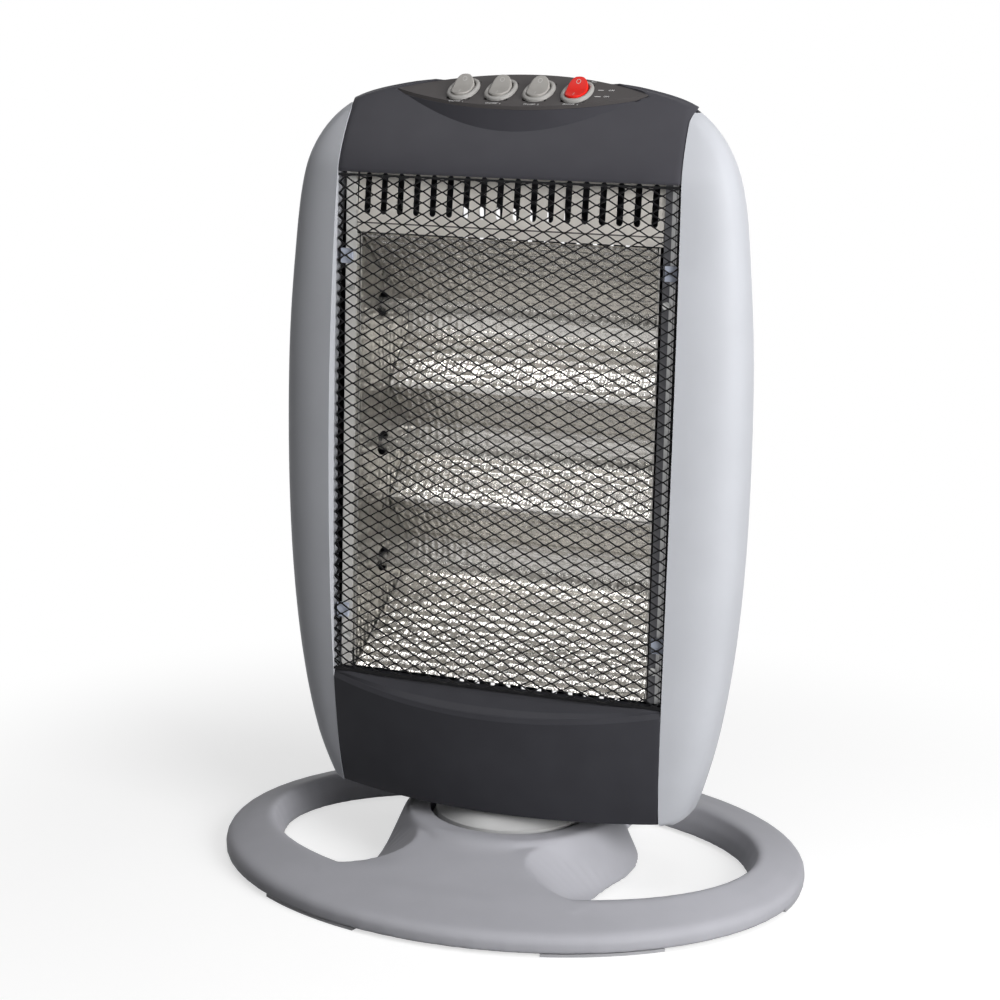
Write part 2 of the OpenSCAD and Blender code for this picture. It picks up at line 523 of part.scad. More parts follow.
// trough sheet: front profile, then the same profile moved back by the sheet thickness
trough = [[ky(139), 138.5], [37, 198], [38, 204], [38, 214], [36.5, 219], [13.5, 248.5], [12.6, 251],
  [13.5, 253.5], [36.5, 282],
  [38, 286], [38, 298], [36.5, 302], [13.5, 330], [12.6, 332.5], [13.5, 335], [36.5, 366], [38, 370],
    [38, 378], [36.5, 382], [ky(439), 440]];
module reflector() color([0.75, 0.73, 0.7]) intersection() {
  profile_x(concat(trough, [for (k = [len(trough) - 1:-1:0]) trough[k] +
    [sheet*1.1, k < 5 ? -0.6 : k > 14 ? 0.6 : 0]]), 110);
  translate([0, 0, 100]) linear_extrude(height = 380)
    polygon([[-107.3, -40], [107.3, -40], [97.4, 41], [-97.4, 41]]);
}
module cheek(s) mirror([s, 0, 0]) difference() {
  translate([0, 0, win_z0 + 4]) linear_extrude(height = 302.4)
    polygon([[107.2, -33], [108.2, -33], [99, 40], [98, 40]]);
  profile_x([[-60, 130], [ky(130) + 1.5, 130], [ky(450) + 1.5, 450], [-60, 450]], 130);
  for (z = tube_z) translate([90, tube_y, z]) rotate([0, 90, 0]) cylinder(h = 26, r = 8.6, $fn = 32);
}
module reflector_cheek_right() color([0.72, 0.7, 0.67]) cheek(0);
module reflector_cheek_left() color([0.72, 0.7, 0.67]) cheek(1);
// rail: upright web with a sloping front flange, standing on the bottom cover
module rail(s) mirror([s, 0, 0]) difference() {
  union() {
    translate([116.6, 0, 0]) rotate([90, 0, 90]) linear_extrude(height = 1.2)
      polygon([[-16, bc_top], [26, bc_top], [32, 90], [32, 474], [0, 486], [ky(486) + 1, 486],
        [ky(139) + 1, 139],
        [ky(138) + 3, 138], [-16, 110]]);
    translate([0, 0, 0]) rotate([90, 0, 90]) translate([0, 0, 109.4]) linear_extrude(height = 7.4)
      polygon([[ky(138), 138], [ky(138) + 1.2, 138], [ky(486) + 1.2, 486], [ky(486), 486]]);
    rotate([90, 0, 90]) translate([0, 0, 108.4]) linear_extrude(height = 8.8)
      polygon([[ky(150) + 3, 150], [ky(150) + 4, 150], [ky(440) + 4, 440], [ky(440) + 3, 440]]);
    translate([105, -8, bc_top]) cube([12.8, 30, 1.2]);
    for (p = rear_screw_xz) if (p.x > 0) translate([101.4, 30.8, p.y - 8]) cube([16, 1.2, 16]);
  }
  for (p = rear_screw_xz) if (p.x > 0) translate([p.x, 20, p.y]) rotate([-90, 0, 0])
    cylinder(h = 20, r = 1.8, $fn = 24);
  translate([110, 16.4, 88.4]) rotate([0, 90, 0]) cylinder(h = 20, r = 7.2, $fn = 32);
  for (z = tube_z) translate([110, tube_y, z]) rotate([0, 90, 0]) cylinder(h = 20, r = 7.3, $fn = 32);
  for (z = [160, 404]) translate([112.6, -60, z]) rotate([-90, 0, 0]) cylinder(h = 60, r = 1.5, $fn = 24);
}
module frame_rail_right() color([0.62, 0.62, 0.63]) rail(0);
module frame_rail_left() color([0.62, 0.62, 0.63]) rail(1);
module rail_screws() color([0.55, 0.55, 0.56]) for (s = [-1, 1], z = [160, 404])
  translate([s*112.6, ky(z) - 1.12, z]) rotate([-90, 0, 0])
    { cylinder(h = 1, r = 2.6, $fn = 32); cylinder(h = 5, r = 1.3, $fn = 24); }
module vent_plate() color([0.66, 0.65, 0.63]) difference() {
  profile_x([[ky(441) + 0.4, 441.6], [ky(448) - 0.2, 448], [ky(486) + 4, 487], [ky(486) + 5, 487],
    [ky(448) + 0.9, 448.4],
    [ky(441) + 1.6, 441.6]], 108.8);
  for (k = [0:17]) translate([(k - 8.5)*12.02, -60, 0]) {
    translate([-2.4, 0, 456]) cube([4.8, 80, 23]);
    translate([0, 0, 456]) rotate([-90, 0, 0]) cylinder(h = 80, r = 2.4, $fn = 24);
    translate([0, 0, 479]) rotate([-90, 0, 0]) cylinder(h = 80, r = 2.4, $fn = 24);
  }
}
module heat_shield() color([0.7, 0.7, 0.7]) difference() {
  translate([-98.6, 40.3, 160]) cube([197.2, 0.8, 270]);
  for (z = [200, 300, 400], x = [-60, 60]) translate([x, 30, z]) rotate([-90, 0, 0])
    cylinder(h = 20, r = 4, $fn = 24);
}
module upper_baffle() color([0.66, 0.66, 0.66]) difference() {
  union() {
    translate([-116.3, -16, 487.3]) cube([232.6, 31.4, 0.8]);
    for (s = [-1, 1]) translate([s*110.3 - 6, -10, 484]) cube([12, 24, 3.3]);
  }
  for (k = [-5:5]) translate([k*18, 0, 480]) cylinder(h = 10, r = 4, $fn = 24);
}
module tube(z) translate([-tube_hl + 4, tube_y, z]) rotate([0, 90, 0]) difference() {
  cylinder(h = 2*tube_hl - 8, d = tube_d, $fn = 32);
  translate([0, 0, -1]) cylinder(h = 2*tube_hl - 6, d = tube_d - 2.4, $fn = 32);
}
// ribbed rod that stands in for the coiled filament
module filament(z) translate([0, tube_y, z]) rotate([0, 90, 0]) union() {
  cylinder(h = 2*tube_hl - 10, r = 1, center = true, $fn = 16);
  for (k = [-18:18]) translate([0, 0, k*5.6]) cylinder(h = 2.6, r = 3, center = true, $fn = 20);
  for (s = [-1, 1]) translate([0, 0, s*(tube_hl - 5)]) cylinder(h = 2, r = 3.79, center = true, $fn = 20);
}
module caps(s) for (z = tube_z) mirror([s, 0, 0]) translate([109, tube_y, z]) rotate([0, 90, 0])
  difference() {
  union() {
    cylinder(h = 16, r = 7.2, $fn = 40);
    translate([0, 0, 4.8]) cylinder(h = 2.5, r = 9.6, $fn = 40);
  }
  translate([0, 0, -1]) cylinder(h = 6.2, r = tube_d/2 + 0.1, $fn = 40);
  translate([0, 0, -1]) cylinder(h = 30, r = 2, $fn = 24);
}
module quartz_tube_bottom() color([0.9, 0.92, 0.95, 0.4]) tube(tube_z[0]);
module quartz_tube_middle() color([0.9, 0.92, 0.95, 0.4]) tube(tube_z[1]);
module quartz_tube_top() color([0.9, 0.92, 0.95, 0.4]) tube(tube_z[2]);
module filament_bottom() color([0.5, 0.45, 0.4]) filament(tube_z[0]);
module filament_middle() color([0.5, 0.45, 0.4]) filament(tube_z[1]);
module filament_top() color([0.5, 0.45, 0.4]) filament(tube_z[2]);
module tube_caps_right() color([0.9, 0.89, 0.85]) caps(0);
module tube_caps_left() color([0.9, 0.89, 0.85]) caps(1);

// ---------- electrical parts ----------
module thermal_cutout() color([0.85, 0.82, 0.72]) translate([60, 6, 488.1]) {
  cylinder(h = 7, r = 7, $fn = 40);
  for (s = [-1, 1]) translate([s*4 - 0.4, -2, 7]) cube([0.8, 4, 6]);
}
module terminal_block() color([0.92, 0.9, 0.84]) difference() {
  translate([-88, -8, bc_top]) cube([50, 18, 16]);
  for (k = [0:4]) translate([-83 + k*10, 1, bc_top + 8]) {
    cylinder(h = 10, r = 2, $fn = 24);
    translate([0, -10, -2]) rotate([-90, 0, 0]) cylinder(h = 30, r = 1.8, $fn = 24);
  }
}
module tip_over_switch() color([0.15, 0.15, 0.16]) {
  translate([-38, 18, bc_top]) cube([28, 16, 24]);
  translate([-24, 26, bc_top + 24]) cylinder(h = 4, r = 5, $fn = 32);
}
module wire_run(P, r) for (i = [0:len(P) - 2]) let (a = P[i], b = P[i + 1], d = b - a) {
  translate(a) rotate([0, acos(d.z/norm(d)), atan2(d.y, d.x)]) cylinder(h = norm(d), r = r, $fn = 24);
  translate(b) sphere(r = r*1.15, $fn = 24);
}
module wire_harness() color([0.75, 0.72, 0.66]) {
  wire_run([[-90, 1, bc_top + 6], [-108, 14, 70], [-123, 18, 100], [-128, 18, 494], [-104, 10, 501],
    [-44, -2, 501],
    [44, -2, 501], [51, 3, 500]], 2.4);
  wire_run([[-36, 1, bc_top + 6], [-34, 4, 86], [14, 12, 86], [52, 4, 78]], 1.6);
  wire_run([[-84, 11.6, bc_top + 8], [-90, 24, 70], [-90, 36, 78]], 2.4);
}

base_shell();
base_cover();
base_cover_screws();
foot_pads();
glide_ring();
swivel_post();
post_washer();
post_nut();
yoke_plate();
yoke_screws();
swivel_disc();
disc_screws();
bottom_cover();
oscillation_motor();
motor_screws();
crank_arm();
lower_front_panel();
upper_front_panel();
control_panel();
left_side_panel();
right_side_panel();
rear_cover();
rear_cover_screws();
carry_grip_pocket();
cord_bushing();
front_guard();
guard_clips();
vent_plate();
reflector();
reflector_cheek_left();
reflector_cheek_right();
frame_rail_left();
frame_rail_right();
rail_screws();
heat_shield();
quartz_tube_bottom();
quartz_tube_middle();
quartz_tube_top();
filament_bottom();
filament_middle();
filament_top();
tube_caps_left();
tube_caps_right();
upper_baffle();
thermal_cutout();
terminal_block();
tip_over_switch();
wire_harness();
switch_housing_1();
switch_housing_2();
switch_housing_3();
switch_housing_4();
rocker_1();
rocker_2();
rocker_3();
rocker_4();
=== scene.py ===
import bpy
import math
from mathutils import Vector, Matrix


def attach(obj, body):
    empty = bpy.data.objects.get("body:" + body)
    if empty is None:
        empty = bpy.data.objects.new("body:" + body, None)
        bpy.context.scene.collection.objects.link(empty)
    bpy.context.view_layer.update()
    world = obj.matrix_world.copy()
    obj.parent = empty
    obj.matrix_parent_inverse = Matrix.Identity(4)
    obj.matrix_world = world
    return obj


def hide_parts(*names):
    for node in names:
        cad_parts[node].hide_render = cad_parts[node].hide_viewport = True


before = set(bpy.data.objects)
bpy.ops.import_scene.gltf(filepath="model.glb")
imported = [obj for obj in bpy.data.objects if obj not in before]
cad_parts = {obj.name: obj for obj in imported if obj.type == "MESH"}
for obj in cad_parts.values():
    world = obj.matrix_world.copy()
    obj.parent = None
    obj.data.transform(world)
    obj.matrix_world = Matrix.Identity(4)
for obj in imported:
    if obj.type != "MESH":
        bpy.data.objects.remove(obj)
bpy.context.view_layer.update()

MM = 0.001
SIN, COS, TAN, PI, RAD = math.sin, math.cos, math.tan, math.pi, math.radians
scene = bpy.context.scene
scene.view_settings.view_transform = "Standard"

# ------------------------------------------------------------------ sizes, in mm, as in the part's source
# body shell
BODY_HW = 164.2                     # half width at the widest section
Z_WIDE = 330.7                      # height of the widest section
Z_TOP = 545.0                       # height of the top ridge
Z_BOT = 50.0                        # height of the bottom edge
REAR_DEP = 50.0                     # depth behind the swivel axis
FRONT_DEP = 42.5                    # depth in front of it
WALL = 2.2                          # wall of the rear cover
PANEL = 2.0                         # wall of the panels
SEAM = 0.4                          # gap between neighbouring mouldings
FRONT_HW = 125.5                    # half width of the dark front
REAR_IN = 4.5                       # how far the rear cover stands inside the side panels
SHOULDER = 105.0                    # the rear curves in from this far below the top
CORNER = 5.0                        # radius of the outer bottom corner
# window and guard
WIN_Z0 = 134.6                      # lower edge of the window
WIN_Z1 = 482.0                      # upper edge of the window
GUARD_TILT = RAD(1.88)              # lean of the guard
GUARD_HW = 121.2                    # its half width
GUARD_BOW = 4.0                     # its forward bow
GUARD_Y = -37.6                     # y of its side edges at the window's lower edge
LOW_BULGE = 23.0                    # forward bulge of the lower panel
FACET_DROP = 11.0                   # drop of the facet's arc below the window
# control pod and switches
POD_HL = 89.5                       # half length of the pod
POD_FRONT = 18.5                    # sagitta of its front outline
POD_REAR = 21.5                     # sagitta of its rear outline
POD_Y = -1                          # y of the chord between them
POD_Z = 537.7                       # height of its plane over the swivel axis
POD_SLOPE = RAD(26)                 # slope of its plane
POD_RIM = 2.5                       # width of its rim, and height below the plane
SW_PITCH = 26.9                     # spacing of the switches
SW_W = 21.0                         # width of a collar
SW_L = 27.5                         # length of a collar
SW_Y = -1.5                         # y of the switches
ROCK = 24                           # swing of a rocker, in degrees

# fine shape of the body
ABOVE = (4.46, 1 / 3.99)            # exponents of the half width above the widest section
BELOW = (2.65, 1 / 3.35)            # and below it
TAIL = 16.2                         # the lower curve would close this far below the floor
PINCH = (3.6, 60)                   # pinch at the shoulder: size and reach
FLARE = (2, 75)                     # flare at the foot: size and reach
RIDGE = (0.1, 17)                   # closing at the ridge: how fast, and over which height
FRONT_EXP = 4                       # exponent of the front's outline, seen from above
REAR_EXP = 3                        # exponent of the rear's outline
BELLY = 200                         # height where the front is deepest
FRONT_CURVE = (2.98e-4, 1.66e-4)    # its curve below and above that
BROW = 484                          # the brow falls back from this height
BROW_FALL = 0.0625                  # how fast it falls back
TOP_SHIFT = (12, 500, 45)           # shift of the middle line at the top, its start, and over how much
TUCK = (6, 32)                      # its shift at the foot, and over how much
PART_Z = 330                        # the parting line is widest at this height
PART_CURVE = (7.2e-5, 9.1e-5)       # its curve below and above that
STEP_END = 4                        # the step in to the rear cover ends this far below the top
STEP_FADE = 14                      # and fades over this height
FOOT_ROWS = [Z_BOT, 50.15, 50.6, 51.3, 52.2, 53.4, 55]    # heights of the rows round the bottom corner


def spread(a, b, n):
    """n + 1 values from a to b"""
    return [a + (b - a) * i / n for i in range(n + 1)]


def levels(*stops):
    """heights through the stops, each given as (height, steps to the next stop)"""
    zs = []
    for (a, n), (b, _) in zip(stops, stops[1:]):
        zs = zs[:-1] + spread(a, b, n)
    return zs


# bw, bd, bm, br, ph, rim, rw and fy are functions of the part's source too
def bw(z):
    """half width of the body at height z"""
    pinch = PINCH[0] * math.exp(-((z - Z_TOP + SHOULDER) / PINCH[1]) ** 2)
    k = pinch + RIDGE[0] * max(0.0, z - Z_TOP + RIDGE[1]) ** 2
    if z > Z_WIDE:
        return BODY_HW * max(0.0, 1 - ((z - Z_WIDE) / (Z_TOP - Z_WIDE)) ** ABOVE[0]) ** ABOVE[1] - k
    flare = FLARE[0] * math.exp(-((z - Z_BOT) / FLARE[1]) ** 2)
    return BODY_HW * (1 - ((Z_WIDE - z) / (Z_WIDE + TAIL)) ** BELOW[0]) ** BELOW[1] + flare - k


def bd(z):
    """depth in front of the axis"""
    curve = FRONT_CURVE[0] if z < BELLY else FRONT_CURVE[1]
    return FRONT_DEP - curve * (z - BELLY) ** 2 - BROW_FALL * max(0.0, z - BROW) ** 1.5


def bm(z):
    """y of the middle line"""
    shift, start, over = TOP_SHIFT
    return shift * (max(0.0, z - start) / over) ** 3 + TUCK[0] * max(0.0, Z_BOT + TUCK[1] - z) / TUCK[1]


def br(z):
    """depth behind the middle line"""
    if z <= Z_TOP - SHOULDER:
        return REAR_DEP
    return REAR_DEP * math.sqrt(max(0.0, 1 - ((z - Z_TOP + SHOULDER) / SHOULDER) ** 2))


def ph(z):
    """half width of the dark front, up to the parting line"""
    curve = PART_CURVE[0] if z < PART_Z else PART_CURVE[1]
    return FRONT_HW - curve * (z - PART_Z) ** 2


def rim(z):
    """step from the side panels in to the rear cover"""
    return REAR_IN * min(1.0, max(0.0, Z_TOP - STEP_END - z) / STEP_FADE)


def rw(z):
    """half width of the rear cover"""
    return bw(z) - rim(z)


def cx(z, x):
    """x with the body's outer bottom corner rounded"""
    if z >= Z_BOT + CORNER:
        return x
    c = CORNER * (1 - math.sqrt(1 - ((Z_BOT + CORNER - z) / CORNER) ** 2))
    return ph(z) + (x - ph(z)) * (1 - c / (bw(z) - ph(z)))


def oval_share(q):
    """share of the front's full depth at a share q of its half width, and the other way round"""
    return max(0.0, 1 - q ** FRONT_EXP) ** (1 / FRONT_EXP)


def fy(x, z):
    """y of the body's front"""
    return bm(z) - (bd(z) + bm(z)) * oval_share(abs(x) / bw(z))


def lens_y(x, g=0.0):
    """front and rear y of the pod's outline at x, grown by g"""
    rf = (POD_HL ** 2 + POD_FRONT ** 2) / (2 * POD_FRONT)
    rr = (POD_HL ** 2 + POD_REAR ** 2) / (2 * POD_REAR)
    a = POD_Y + (rf - POD_FRONT) - math.sqrt((rf + g) ** 2 - x * x)
    b = POD_Y + (POD_REAR - rr) + math.sqrt((rr + g) ** 2 - x * x)
    return a, b


def plane(y, dz=0.0):
    """height of the pod's sloping plane at y, lifted by dz"""
    return POD_Z + dz + y * TAN(POD_SLOPE)


def lens_block(g, dz=None):
    """closed block with the pod's outline grown by g, from below or from the pod's plane lifted by dz"""
    below, above, n = 495, 560, 60
    # the half length of the grown outline, where front and rear meet
    lo, hi = 60.0, 130.0
    for _ in range(50):
        t = (lo + hi) / 2
        a, b = lens_y(t, g)
        lo, hi = (t, hi) if b > a else (lo, t)
    xs = [lo * SIN(RAD(v)) for v in spread(-90, 90, n)]
    pts = [(x, lens_y(x, g)[0]) for x in xs] + [(x, lens_y(x, g)[1]) for x in xs[-2:0:-1]]
    foot = [(x, y, below if dz is None else plane(y, dz)) for x, y in pts]
    return loops_mesh([foot, [(x, y, above) for x, y in pts]])


# ------------------------------------------------------------------ mesh helpers
def grid_faces(rows, cols, flip=False):
    """quads of a grid of rows by cols points"""
    faces = []
    for i in range(rows - 1):
        for j in range(cols - 1):
            a = i * cols + j
            faces.append((a, a + cols, a + cols + 1, a + 1))
    return [f[::-1] for f in faces] if flip else faces


def ring_faces(loops, n):
    """quads through closed loops of n points, the last loop joined to the first"""
    faces = []
    for i in range(loops):
        for j in range(n):
            a, b, k = i * n, (i + 1) % loops * n, (j + 1) % n
            faces.append((a + j, b + j, b + k, a + k))
    return faces


def loops_mesh(loops, cap_first=True, cap_last=True):
    """skin over closed loops, with the first and the last one filled"""
    n = len(loops[0])
    verts = [v for loop in loops for v in loop]
    faces = []
    for i in range(len(loops) - 1):
        for j in range(n):
            a, b = i * n + j, i * n + (j + 1) % n
            faces.append((a, b, b + n, a + n))
    if cap_first:
        faces.append(tuple(range(n - 1, -1, -1)))
    if cap_last:
        faces.append(tuple(range((len(loops) - 1) * n, len(loops) * n)))
    return verts, faces


def placed(m, pts):
    """points moved by the matrix m"""
    return [tuple(m @ Vector(p)) for p in pts]


def smooth(o, angle=35):
    for p in o.data.polygons:
        p.use_smooth = True
    o.data.set_sharp_from_angle(angle=RAD(angle))


def evaluated(o):
    """new mesh with the object's modifiers applied"""
    return bpy.data.meshes.new_from_object(o.evaluated_get(bpy.context.evaluated_depsgraph_get()))


def bake(o):
    """apply the modifiers to the object's mesh"""
    me = evaluated(o)
    o.modifiers.clear()
    o.data = me
    return me


def add(name, verts, faces, key, body, replaces=(), sharp=35):
    """new piece of material M[key], from points in mm; edges above the angle sharp stay hard"""
    me = bpy.data.meshes.new(name)
    me.from_pydata([Vector(v) * MM for v in verts], [], faces)
    me.validate()
    me.update()
    o = bpy.data.objects.new(name, me)
    scene.collection.objects.link(o)
    me.materials.append(M[key])
    smooth(o, sharp)
    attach(o, body)
    if replaces:
        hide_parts(*replaces)
    return o


def thicken(o, wall, edge=0.0, segments=2, angle=40):
    """give a skin its wall, inwards, and round the edges above an angle"""
    s = o.modifiers.new("wall", "SOLIDIFY")
    s.thickness = wall * MM
    s.offset = -1
    s.use_even_offset = True
    s.thickness_clamp = 0.6
    if edge:
        b = o.modifiers.new("edge", "BEVEL")
        b.width = edge * MM
        b.segments = segments
        b.limit_method = "ANGLE"
        b.angle_limit = RAD(angle)
        b.harden_normals = True


def carve(o, blocks, sharp=40):
    """cut closed blocks out of a piece and keep the result as its mesh"""
    cuts = []
    for v, f in blocks:
        c = add("cutter", v, f, "rear", "head")
        md = o.modifiers.new("cut", "BOOLEAN")
        md.operation = "DIFFERENCE"
        md.solver = "EXACT"
        md.object = c
        cuts.append(c)
    bake(o)
    for c in cuts:
        bpy.data.objects.remove(c)
    smooth(o, sharp)


# ------------------------------------------------------------------ materials
BUMP_DEPTH = 0.00008                # of the fine bumps, in metres
ROUGH_SPREAD = 0.08                 # roughness varies by this much either way
HAMMERED = (205.0, 1.0, 0.0017, 0.35)
DRAWN = (1, 1, 0.1)                 # noise stretched along the sheet


def mat(name, col, rough=0.5, metal=0.0, var=0.06, vs=45.0, bump=0.15, bs=1400.0, spec=0.5,
        alpha=1.0, sheen=0.0, trans=0.0, ior=1.45, cells=None, streak=None):
    """material with noise in its colour, roughness and surface

    var and vs are the strength and scale of the colour's noise, bump and bs those of the fine bumps.
    cells is the scale, strength, depth and randomness of hammered dimples, streak the noise's stretch.
    """
    m = bpy.data.materials.new(name)
    m.use_nodes = True
    n, l = m.node_tree.nodes, m.node_tree.links
    b = n["Principled BSDF"]
    place = n.new("ShaderNodeTexCoord").outputs["Object"]
    grain = place
    if streak:
        mp = n.new("ShaderNodeMapping")
        mp.inputs["Scale"].default_value = streak
        l.new(place, mp.inputs["Vector"])
        grain = mp.outputs["Vector"]

    def noise(scale, detail, to):
        t = n.new("ShaderNodeTexNoise")
        t.inputs["Scale"].default_value = scale
        t.inputs["Detail"].default_value = detail
        l.new(grain, t.inputs["Vector"])
        l.new(t.outputs["Fac"], to)

    def bumps(strength, depth):
        t = n.new("ShaderNodeBump")
        t.inputs["Strength"].default_value = strength
        t.inputs["Distance"].default_value = depth
        return t

    ramp = n.new("ShaderNodeValToRGB")
    dark, light = ramp.color_ramp.elements
    dark.position, light.position = 0.3, 0.7
    dark.color = [c * (1 - var) for c in col] + [1]
    light.color = [min(1, c * (1 + var)) for c in col] + [1]
    noise(vs, 5, ramp.inputs["Fac"])
    l.new(ramp.outputs["Color"], b.inputs["Base Color"])
    gloss = n.new("ShaderNodeMapRange")
    gloss.inputs["To Min"].default_value = max(0.02, rough - ROUGH_SPREAD)
    gloss.inputs["To Max"].default_value = min(1, rough + ROUGH_SPREAD)
    noise(vs * 4, 3, gloss.inputs["Value"])
    l.new(gloss.outputs["Result"], b.inputs["Roughness"])
    fine = bumps(bump, BUMP_DEPTH)
    noise(bs, 2, fine.inputs["Height"])
    surface = fine
    if cells:
        # hammered sheet: round dimples, one per cell
        scale, strength, depth, randomness = cells
        dimple = n.new("ShaderNodeTexVoronoi")
        dimple.feature = "SMOOTH_F1"
        dimple.inputs["Scale"].default_value = scale
        dimple.inputs["Smoothness"].default_value = 0.35
        dimple.inputs["Randomness"].default_value = randomness
        l.new(place, dimple.inputs["Vector"])
        surface = bumps(strength, depth)
        l.new(dimple.outputs["Distance"], surface.inputs["Height"])
        l.new(fine.outputs["Normal"], surface.inputs["Normal"])
    l.new(surface.outputs["Normal"], b.inputs["Normal"])
    for socket, value in (("Metallic", metal), ("Specular IOR Level", spec), ("Alpha", alpha),
                          ("Transmission Weight", trans), ("IOR", ior), ("Sheen Weight", sheen)):
        b.inputs[socket].default_value = value
    return m


def shade(m, what, low, high, col):
    """paint light or shade into the colour: blend it to col where a value lies between low and high

    what is "X", "Y" or "Z", a place in metres, or "back", how far a face looks back.
    """
    n, l = m.node_tree.nodes, m.node_tree.links
    b = n["Principled BSDF"]
    tc, sp = n.new("ShaderNodeTexCoord"), n.new("ShaderNodeSeparateXYZ")
    l.new(tc.outputs["Normal" if what == "back" else "Object"], sp.inputs[0])
    value = sp.outputs["Y" if what == "back" else what]

    def test(kind, limit):
        t = n.new("ShaderNodeMath")
        t.operation = kind
        t.inputs[1].default_value = limit
        l.new(value, t.inputs[0])
        return t.outputs[0]

    both = n.new("ShaderNodeMath")
    both.operation = "MULTIPLY"
    l.new(test("GREATER_THAN", low), both.inputs[0])
    l.new(test("LESS_THAN", high), both.inputs[1])
    mx = n.new("ShaderNodeMix")
    mx.data_type = "RGBA"
    factor, first, second, result = mx.inputs[0], mx.inputs[6], mx.inputs[7], mx.outputs[2]
    l.new(both.outputs[0], factor)
    l.new(b.inputs["Base Color"].links[0].from_socket, first)
    second.default_value = list(col) + [1]
    l.new(result, b.inputs["Base Color"])


M = {
    "slate": mat("slate_panel", (0.062, 0.061, 0.071), 0.55, var=0.05, bump=0.25, spec=0.12),
    "slate_low": mat("slate_lower", (0.044, 0.044, 0.051), 0.55, var=0.06, bump=0.25, spec=0.12),
    "wing": mat("side_grey", (0.55, 0.563, 0.60), 0.48, var=0.025, vs=25, bump=0.12, spec=0.2),
    "rear": mat("rear_slate", (0.050, 0.050, 0.058), 0.55, var=0.05, bump=0.35, spec=0.3),
    "face": mat("control_face", (0.072, 0.066, 0.066), 0.6, var=0.05, bump=0.3, spec=0.2),
    "base": mat("base_grey", (0.43, 0.43, 0.465), 0.55, var=0.03, vs=30, bump=0.35, bs=1100, spec=0.15),
    "under": mat("under_dark", (0.05, 0.05, 0.052), 0.6, bump=0.3),
    "foot": mat("foot_pad", (0.42, 0.42, 0.44), 0.75, bump=0.4, bs=900),
    "disc": mat("disc_white", (0.50, 0.50, 0.50), 0.42, var=0.02, bump=0.1),
    "sw": mat("switch_grey", (0.40, 0.39, 0.375), 0.5, var=0.03, bump=0.08, spec=0.2),
    "rk": mat("rocker_grey", (0.38, 0.365, 0.345), 0.5, var=0.03, bump=0.08, spec=0.2),
    "red": mat("rocker_red", (0.78, 0.018, 0.010), 0.5, var=0.05, bump=0.05, spec=0.2),
    "wire": mat("guard_black", (0.006, 0.006, 0.007), 0.5, var=0.2, vs=150, bump=0.2, spec=0.2),
    "refl": mat("hammered_sheet", (0.72, 0.70, 0.665), 0.24, metal=1.0, var=0.05, bump=0.1,
                cells=HAMMERED),
    # the cheeks are the reflector's hammered metal at half its colour: painted shade
    "cheek": mat("hammered_cheek_painted_shade", (0.36, 0.35, 0.33), 0.30, metal=1.0, bump=0.1, cells=HAMMERED),
    "sheet": mat("zinc_sheet", (0.55, 0.54, 0.51), 0.34, metal=0.9, streak=DRAWN),
    # the two rails are mirrored copies of one part: the left one's nearly white colour is painted light, the
    # right one's dark colour painted shade
    "lip": mat("rail_lit", (0.95, 0.93, 0.89), 0.42, metal=0.15, var=0.05, streak=DRAWN),
    "lip_dark": mat("rail_shade", (0.13, 0.13, 0.14), 0.42, metal=0.5, var=0.08, streak=DRAWN),
    "vent": mat("vent_sheet", (0.90, 0.86, 0.80), 0.45, metal=0.25),
    "steel": mat("screw_steel", (0.48, 0.48, 0.47), 0.32, metal=1.0, var=0.08, vs=300),
    "quartz": mat("quartz", (0.95, 0.95, 0.93), 0.08, alpha=0.35, trans=0.85, var=0.02, bump=0.05,
                  ior=1.46),
    "coil": mat("filament", (0.42, 0.40, 0.37), 0.5, metal=0.7, var=0.2, vs=400),
    "ceramic": mat("ceramic", (0.74, 0.72, 0.65), 0.3, var=0.03),
    "clip": mat("guard_clip", (0.66, 0.71, 0.84), 0.35, var=0.05),
    # the upper baffle is painted nearly black: painted shade, so the vent slots look dark
    "inner": mat("inner_sheet_painted_shade", (0.05, 0.047, 0.043), 0.7, metal=0.3, var=0.1, streak=DRAWN),
    "black": mat("black_moulding", (0.018, 0.018, 0.019), 0.5, bump=0.3),
    "sleeve": mat("glass_sleeve", (0.52, 0.47, 0.38), 0.8, var=0.1, vs=700, bump=0.6, bs=2500,
                  sheen=0.3),
    "brass": mat("brass", (0.62, 0.46, 0.20), 0.3, metal=1.0),
    "white": mat("white_nylon", (0.72, 0.72, 0.70), 0.45, var=0.02),
    "mould": mat("moulded_mark", (0.56, 0.55, 0.54), 0.45, var=0.04, bump=0.05),
    "print": mat("white_print", (0.80, 0.80, 0.80), 0.5, var=0.04, bump=0.05),
}

# painted shade and light: the webs of the rails and the back of the reflector are painted unlit, the outer
# edge of the right rail gets a painted highlight, and the vent plate's fold a painted shadow line
UNLIT, LIT_EDGE, IN_SHADOW = (0.03, 0.03, 0.03), (0.60, 0.60, 0.60), (0.10, 0.09, 0.08)
WEB_Y, EDGE_X, FOLD_Z, LOOKS_BACK = (-0.0145, 1.0), (0.1142, 1.0), (0.4474, 0.4483), (0.05, 2.0)
shade(M["lip"], "Y", *WEB_Y, UNLIT)
shade(M["lip_dark"], "X", *EDGE_X, LIT_EDGE)
shade(M["lip_dark"], "Y", *WEB_Y, UNLIT)
shade(M["refl"], "back", *LOOKS_BACK, UNLIT)
shade(M["vent"], "Z", *FOLD_Z, IN_SHADOW)

